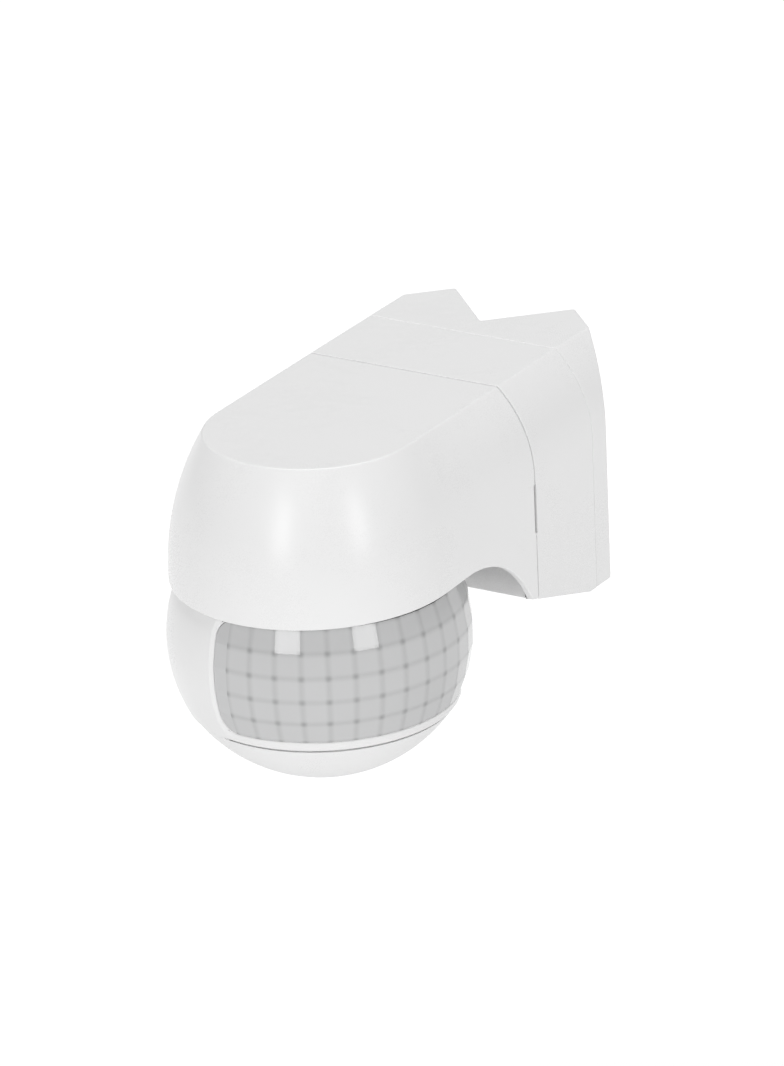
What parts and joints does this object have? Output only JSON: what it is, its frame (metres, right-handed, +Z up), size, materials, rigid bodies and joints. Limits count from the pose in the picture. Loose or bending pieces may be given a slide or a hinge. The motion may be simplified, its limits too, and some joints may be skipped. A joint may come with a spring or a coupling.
{
  "type": "motion sensor",
  "caption": "Wall or corner mounted motion sensor: notched rear bracket, wiring base, pull-off hooded cover and a ball head with a faceted lens that turns and tilts.",
  "frame": {"origin": "middle of the two wall screw holes, on the wall plane", "axes": "+Y into the wall along the screws, +Z up, +X to the right when facing the sensor from the front"},
  "size_m": [0.0597, 0.1072, 0.0705],
  "materials": {
    "housing": "fine satin moulded",
    "head": "fine satin moulded",
    "lens": "milky translucent, faceted",
    "inner_plastic": "satin",
    "terminal_plastic": "satin",
    "knob_plastic": "satin",
    "rubber": "soft",
    "grommet_rubber": "soft",
    "circuit_board": "lacquered",
    "relay_case": "moulded",
    "film_case": "moulded",
    "blue_case": "smooth",
    "can_sleeve": "shrink sleeve",
    "ribbon": "ribbed",
    "steel": "zinc plated",
    "brass": "machined",
    "sensor_can": "nickel plated",
    "sensor_filter": "polished dark",
    "light_cell": "coated",
    "led_red": "clear tinted"
  },
  "bodies": {
    "base": {"corner_bracket": "housing", "wall_base": "housing", "base_screws": "steel", "cable_grommet": "grommet_rubber", "blanking_plug": "grommet_rubber", "seam_gasket": "rubber", "terminal_block": "terminal_plastic", "terminal_clamps": "brass", "terminal_screws": "steel", "release_springs": "steel"},
    "cover": {"front_cover": "housing", "power_board": "circuit_board", "relay": "relay_case", "film_capacitor": "film_case", "storage_capacitor": "can_sleeve", "varistor": "blue_case", "plug_pins": "brass", "board_screws": "steel", "swivel_socket": "inner_plastic", "socket_screws": "steel", "link_ribbon": "ribbon"},
    "swivel": {"swivel_neck": "inner_plastic", "neck_clip": "steel", "friction_ring": "rubber", "pivot_pins": "steel"},
    "head": {"head_shell": "head", "fresnel_lens": "lens", "lens_retainer": "inner_plastic", "bottom_cap": "head", "sensor_board": "circuit_board", "pyro_sensor": "sensor_can", "pyro_window": "sensor_filter", "light_sensor": "light_cell", "indicator_led": "led_red", "adjust_board": "circuit_board", "trimmers": "blue_case", "head_screws": "steel"},
    "time_knob": {"time_knob": "knob_plastic"},
    "light_knob": {"light_knob": "knob_plastic"},
    "range_knob": {"range_knob": "knob_plastic"}
  },
  "joints": [
    {"name": "cover_pull", "type": "slide", "parent": "base", "child": "cover", "axis": [0, -1, 0], "range_m": [0, 0.06]},
    {"name": "head_pan", "type": "hinge", "parent": "cover", "child": "swivel", "pos_m": [0, -0.0775, -0.017], "axis": [0, 0, 1], "range_deg": [-145, 15]},
    {"name": "head_tilt", "type": "hinge", "parent": "swivel", "child": "head", "pos_m": [0, -0.0775, -0.017], "axis": [0.4226, 0.9063, 0], "range_deg": [-18, 18]},
    {"name": "time_turn", "type": "hinge", "parent": "head", "child": "time_knob", "pos_m": [-0.00906, -0.07327, -0.041], "axis": [0, 0, -1], "range_deg": [-135, 135]},
    {"name": "light_turn", "type": "hinge", "parent": "head", "child": "light_knob", "pos_m": [0.00087, -0.08746, -0.041], "axis": [0, 0, -1], "range_deg": [-135, 135]},
    {"name": "range_turn", "type": "hinge", "parent": "head", "child": "range_knob", "pos_m": [0.00819, -0.07176, -0.041], "axis": [0, 0, -1], "range_deg": [-135, 135]}
  ]
}
